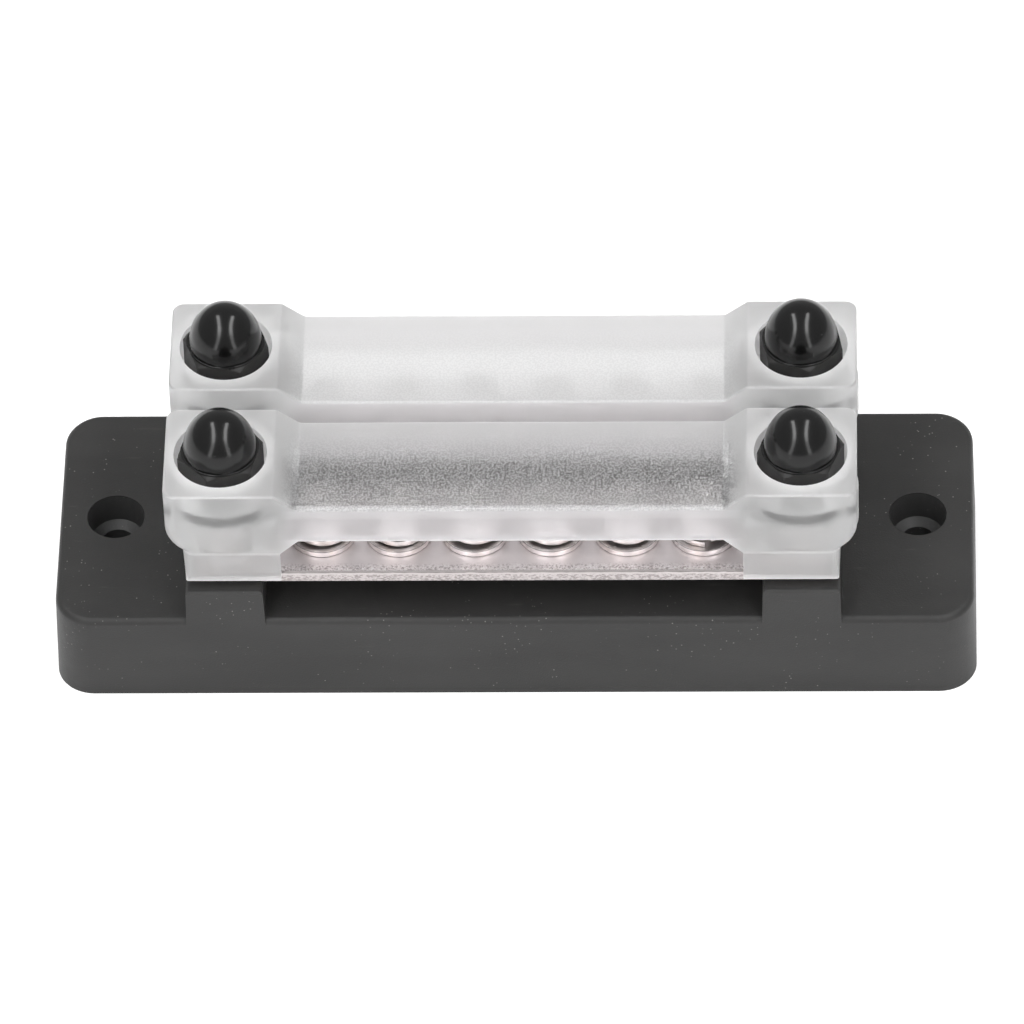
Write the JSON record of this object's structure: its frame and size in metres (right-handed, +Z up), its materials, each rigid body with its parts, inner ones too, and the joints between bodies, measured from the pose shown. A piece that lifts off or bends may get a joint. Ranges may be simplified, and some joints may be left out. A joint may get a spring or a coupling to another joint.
{
  "type": "power distribution block",
  "caption": "Two-row power distribution block: a moulded base with raised busbars, screw terminals, end studs and frosted covers held by domed cap nuts.",
  "frame": {"origin": "middle of the base's underside", "axes": "+X along the rows to the right, +Y from the front row to the rear row, +Z up out of the mounting surface"},
  "size_m": [0.1214, 0.038, 0.0432],
  "materials": {
    "moulding_black": "fine-grained matt",
    "frosted_cover": "frosted translucent",
    "cap_black": "glossy dome, satin hexagon",
    "plated_copper": "tin plated",
    "nickel_steel": "bright plated",
    "zinc_steel": "satin zinc plated"
  },
  "bodies": {
    "base": {"base": "moulding_black", "front_busbar": "plated_copper", "front_flat_washers": "zinc_steel", "front_lock_washers": "zinc_steel", "front_left_stud": "zinc_steel", "front_left_stud_washer": "zinc_steel", "front_left_stud_lock_washer": "zinc_steel", "front_right_stud": "zinc_steel", "front_right_stud_washer": "zinc_steel", "front_right_stud_lock_washer": "zinc_steel", "rear_busbar": "plated_copper", "rear_flat_washers": "zinc_steel", "rear_lock_washers": "zinc_steel", "rear_left_stud": "zinc_steel", "rear_left_stud_washer": "zinc_steel", "rear_left_stud_lock_washer": "zinc_steel", "rear_right_stud": "zinc_steel", "rear_right_stud_washer": "zinc_steel", "rear_right_stud_lock_washer": "zinc_steel"},
    "front_cover": {"front_cover": "frosted_cover"},
    "front_terminal_screw_1": {"front_terminal_screw_1": "nickel_steel"},
    "front_terminal_screw_2": {"front_terminal_screw_2": "nickel_steel"},
    "front_terminal_screw_3": {"front_terminal_screw_3": "nickel_steel"},
    "front_terminal_screw_4": {"front_terminal_screw_4": "nickel_steel"},
    "front_terminal_screw_5": {"front_terminal_screw_5": "nickel_steel"},
    "front_terminal_screw_6": {"front_terminal_screw_6": "nickel_steel"},
    "front_left_stud_nut": {"front_left_stud_nut": "zinc_steel"},
    "front_left_cap_nut": {"front_left_cap_nut": "cap_black"},
    "front_right_stud_nut": {"front_right_stud_nut": "zinc_steel"},
    "front_right_cap_nut": {"front_right_cap_nut": "cap_black"},
    "rear_cover": {"rear_cover": "frosted_cover"},
    "rear_terminal_screw_1": {"rear_terminal_screw_1": "nickel_steel"},
    "rear_terminal_screw_2": {"rear_terminal_screw_2": "nickel_steel"},
    "rear_terminal_screw_3": {"rear_terminal_screw_3": "nickel_steel"},
    "rear_terminal_screw_4": {"rear_terminal_screw_4": "nickel_steel"},
    "rear_terminal_screw_5": {"rear_terminal_screw_5": "nickel_steel"},
    "rear_terminal_screw_6": {"rear_terminal_screw_6": "nickel_steel"},
    "rear_left_stud_nut": {"rear_left_stud_nut": "zinc_steel"},
    "rear_left_cap_nut": {"rear_left_cap_nut": "cap_black"},
    "rear_right_stud_nut": {"rear_right_stud_nut": "zinc_steel"},
    "rear_right_cap_nut": {"rear_right_cap_nut": "cap_black"}
  },
  "joints": [
    {"name": "front_cover_lift", "type": "slide", "parent": "base", "child": "front_cover", "axis": [0, 0, 1], "range_m": [0, 0.025]},
    {"name": "front_terminal_screw_1_turn", "type": "hinge", "parent": "base", "child": "front_terminal_screw_1", "pos_m": [-0.025, -0.0096, 0.0239], "axis": [0, 0, 1], "continuous": true},
    {"name": "front_terminal_screw_2_turn", "type": "hinge", "parent": "base", "child": "front_terminal_screw_2", "pos_m": [-0.015, -0.0096, 0.0239], "axis": [0, 0, 1], "continuous": true},
    {"name": "front_terminal_screw_3_turn", "type": "hinge", "parent": "base", "child": "front_terminal_screw_3", "pos_m": [-0.005, -0.0096, 0.0239], "axis": [0, 0, 1], "continuous": true},
    {"name": "front_terminal_screw_4_turn", "type": "hinge", "parent": "base", "child": "front_terminal_screw_4", "pos_m": [0.005, -0.0096, 0.0239], "axis": [0, 0, 1], "continuous": true},
    {"name": "front_terminal_screw_5_turn", "type": "hinge", "parent": "base", "child": "front_terminal_screw_5", "pos_m": [0.015, -0.0096, 0.0239], "axis": [0, 0, 1], "continuous": true},
    {"name": "front_terminal_screw_6_turn", "type": "hinge", "parent": "base", "child": "front_terminal_screw_6", "pos_m": [0.025, -0.0096, 0.0239], "axis": [0, 0, 1], "continuous": true},
    {"name": "front_left_stud_nut_turn", "type": "hinge", "parent": "base", "child": "front_left_stud_nut", "pos_m": [-0.03775, -0.0096, 0.0243], "axis": [0, 0, 1], "continuous": true},
    {"name": "front_left_cap_nut_turn", "type": "hinge", "parent": "front_cover", "child": "front_left_cap_nut", "pos_m": [-0.03775, -0.0096, 0.0315], "axis": [0, 0, 1], "continuous": true},
    {"name": "front_right_stud_nut_turn", "type": "hinge", "parent": "base", "child": "front_right_stud_nut", "pos_m": [0.03775, -0.0096, 0.0243], "axis": [0, 0, 1], "continuous": true},
    {"name": "front_right_cap_nut_turn", "type": "hinge", "parent": "front_cover", "child": "front_right_cap_nut", "pos_m": [0.03775, -0.0096, 0.0315], "axis": [0, 0, 1], "continuous": true},
    {"name": "rear_cover_lift", "type": "slide", "parent": "base", "child": "rear_cover", "axis": [0, 0, 1], "range_m": [0, 0.025]},
    {"name": "rear_terminal_screw_1_turn", "type": "hinge", "parent": "base", "child": "rear_terminal_screw_1", "pos_m": [-0.025, 0.0096, 0.0239], "axis": [0, 0, 1], "continuous": true},
    {"name": "rear_terminal_screw_2_turn", "type": "hinge", "parent": "base", "child": "rear_terminal_screw_2", "pos_m": [-0.015, 0.0096, 0.0239], "axis": [0, 0, 1], "continuous": true},
    {"name": "rear_terminal_screw_3_turn", "type": "hinge", "parent": "base", "child": "rear_terminal_screw_3", "pos_m": [-0.005, 0.0096, 0.0239], "axis": [0, 0, 1], "continuous": true},
    {"name": "rear_terminal_screw_4_turn", "type": "hinge", "parent": "base", "child": "rear_terminal_screw_4", "pos_m": [0.005, 0.0096, 0.0239], "axis": [0, 0, 1], "continuous": true},
    {"name": "rear_terminal_screw_5_turn", "type": "hinge", "parent": "base", "child": "rear_terminal_screw_5", "pos_m": [0.015, 0.0096, 0.0239], "axis": [0, 0, 1], "continuous": true},
    {"name": "rear_terminal_screw_6_turn", "type": "hinge", "parent": "base", "child": "rear_terminal_screw_6", "pos_m": [0.025, 0.0096, 0.0239], "axis": [0, 0, 1], "continuous": true},
    {"name": "rear_left_stud_nut_turn", "type": "hinge", "parent": "base", "child": "rear_left_stud_nut", "pos_m": [-0.03775, 0.0096, 0.0243], "axis": [0, 0, 1], "continuous": true},
    {"name": "rear_left_cap_nut_turn", "type": "hinge", "parent": "rear_cover", "child": "rear_left_cap_nut", "pos_m": [-0.03775, 0.0096, 0.0315], "axis": [0, 0, 1], "continuous": true},
    {"name": "rear_right_stud_nut_turn", "type": "hinge", "parent": "base", "child": "rear_right_stud_nut", "pos_m": [0.03775, 0.0096, 0.0243], "axis": [0, 0, 1], "continuous": true},
    {"name": "rear_right_cap_nut_turn", "type": "hinge", "parent": "rear_cover", "child": "rear_right_cap_nut", "pos_m": [0.03775, 0.0096, 0.0315], "axis": [0, 0, 1], "continuous": true}
  ]
}
